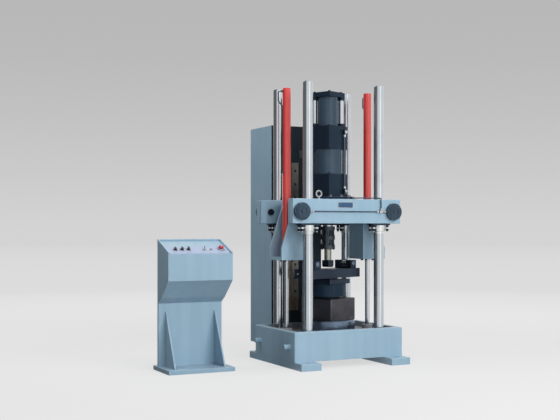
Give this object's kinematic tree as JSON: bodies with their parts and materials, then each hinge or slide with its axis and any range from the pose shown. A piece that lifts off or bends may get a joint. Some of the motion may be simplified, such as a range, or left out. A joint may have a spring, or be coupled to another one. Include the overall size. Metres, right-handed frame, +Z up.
{
  "type": "universal testing machine",
  "caption": "Free-standing servo-hydraulic testing machine: column frame, lifting crosshead with actuator, bending fixture, rear cabinet and separate control console.",
  "frame": {"origin": "on the floor under the load axis, at the centre of the four anchor holes", "axes": "+X to the machine's right seen from the front, +Y to the back (the cabinet's side), +Z up along the load axis"},
  "size_m": [2.232, 1.428, 2.516],
  "materials": {
    "frame_paint": "semi-gloss blue-grey enamel",
    "chrome": "ground and hard-chromed",
    "red_paint": "gloss red enamel",
    "actuator_paint": "satin blue-black enamel",
    "bright_steel": "machined",
    "black_steel": "blackened, oiled",
    "clamp_paint": "satin slate enamel",
    "block_steel": "milled, dulled",
    "tray_paint": "dark enamel",
    "panel_black": "matt black enamel",
    "rail_brown": "dulled steel",
    "pipe_steel": "drawn steel tube",
    "valve_aluminium": "bead-blasted",
    "switch_plastic": "matt",
    "console_plate": "satin lavender-grey",
    "knob_plastic": "gloss black",
    "stop_plastic": "gloss red"
  },
  "bodies": {
    "load_frame": {"base_box": "frame_paint", "foot_rails": "frame_paint", "drip_tray": "tray_paint", "lifting_trunnions": "frame_paint", "column_front_left": "chrome", "column_back_left": "chrome", "column_front_right": "chrome", "column_back_right": "chrome", "column_nuts": "black_steel", "lift_rod_feet": "black_steel", "lift_rod_left": "chrome", "lift_rod_right": "chrome", "load_base_disc": "black_steel", "support_block": "block_steel", "load_cell": "black_steel", "adapter_plate": "black_steel", "bending_table": "black_steel", "cabinet_shell": "frame_paint", "cabinet_front_panel": "panel_black", "guide_rail": "rail_brown", "guide_strip": "bright_steel", "guide_rail_bolts": "black_steel", "limit_switches": "switch_plastic", "console_base_plate": "frame_paint", "console_pedestal": "frame_paint", "console_housing": "frame_paint", "control_panel": "console_plate", "control_bezels": "bright_steel"},
    "crosshead_unit": {"crosshead": "frame_paint", "clamp_cylinders": "clamp_paint", "crosshead_bolts": "black_steel", "guide_bushes": "bright_steel", "lift_cylinder_left": "red_paint", "lift_cylinder_right": "red_paint", "lift_bracket_left": "frame_paint", "lift_bracket_right": "frame_paint", "hydraulic_pipes": "pipe_steel", "actuator_flange": "actuator_paint", "actuator_lower_block": "actuator_paint", "actuator_barrel": "actuator_paint", "actuator_upper_block": "actuator_paint", "rod_cover": "actuator_paint", "actuator_top_plate": "actuator_paint", "tie_rods": "chrome", "side_pipe": "pipe_steel", "servo_valve": "valve_aluminium", "eyebolts": "bright_steel"},
    "load_train": {"piston_rod": "chrome", "grip_coupling": "black_steel", "loading_ram": "bright_steel", "loading_nose": "black_steel"},
    "cradle_left": {"roller_cradle_left": "black_steel"},
    "cradle_right": {"roller_cradle_right": "black_steel"},
    "roller_left": {"support_roller_left": "bright_steel"},
    "roller_right": {"support_roller_right": "bright_steel"},
    "knob_1": {"selector_knob_1": "knob_plastic"},
    "knob_2": {"selector_knob_2": "knob_plastic"},
    "knob_3": {"selector_knob_3": "knob_plastic"},
    "key": {"key_switch": "bright_steel"},
    "stop_button": {"emergency_stop": "stop_plastic"}
  },
  "joints": [
    {"name": "crosshead_lift", "type": "slide", "parent": "load_frame", "child": "crosshead_unit", "axis": [0, 0, 1], "range_m": [0, 0.85]},
    {"name": "actuator_stroke", "type": "slide", "parent": "crosshead_unit", "child": "load_train", "axis": [0, 0, 1], "range_m": [-0.01, 0.19]},
    {"name": "cradle_left_slide", "type": "slide", "parent": "load_frame", "child": "cradle_left", "axis": [0.9205, 0.3907, 0], "range_m": [-0.025, 0.14]},
    {"name": "cradle_right_slide", "type": "slide", "parent": "load_frame", "child": "cradle_right", "axis": [0.9205, 0.3907, 0], "range_m": [-0.14, 0.025]},
    {"name": "roller_left_spin", "type": "hinge", "parent": "cradle_left", "child": "roller_left", "pos_m": [-0.24669, -0.10472, 0.898], "axis": [-0.3907, 0.9205, 0], "continuous": true},
    {"name": "roller_right_spin", "type": "hinge", "parent": "cradle_right", "child": "roller_right", "pos_m": [0.24669, 0.10472, 0.898], "axis": [-0.3907, 0.9205, 0], "continuous": true},
    {"name": "knob_1_turn", "type": "hinge", "parent": "load_frame", "child": "knob_1", "pos_m": [-1.534, -0.12361, 1.04375], "axis": [0, -0.3657, 0.9308], "range_deg": [-45, 45]},
    {"name": "knob_2_turn", "type": "hinge", "parent": "load_frame", "child": "knob_2", "pos_m": [-1.473, -0.12361, 1.04375], "axis": [0, -0.3657, 0.9308], "range_deg": [-45, 45]},
    {"name": "knob_3_turn", "type": "hinge", "parent": "load_frame", "child": "knob_3", "pos_m": [-1.415, -0.12361, 1.04375], "axis": [0, -0.3657, 0.9308], "range_deg": [-45, 45]},
    {"name": "key_turn", "type": "hinge", "parent": "load_frame", "child": "key", "pos_m": [-1.271, -0.12361, 1.04375], "axis": [0, -0.3657, 0.9308], "range_deg": [-90, 0]},
    {"name": "stop_push", "type": "slide", "parent": "load_frame", "child": "stop_button", "axis": [0, 0.3657, -0.9308], "range_m": [0, 0.008], "stiffness_N_per_m": 600}
  ]
}
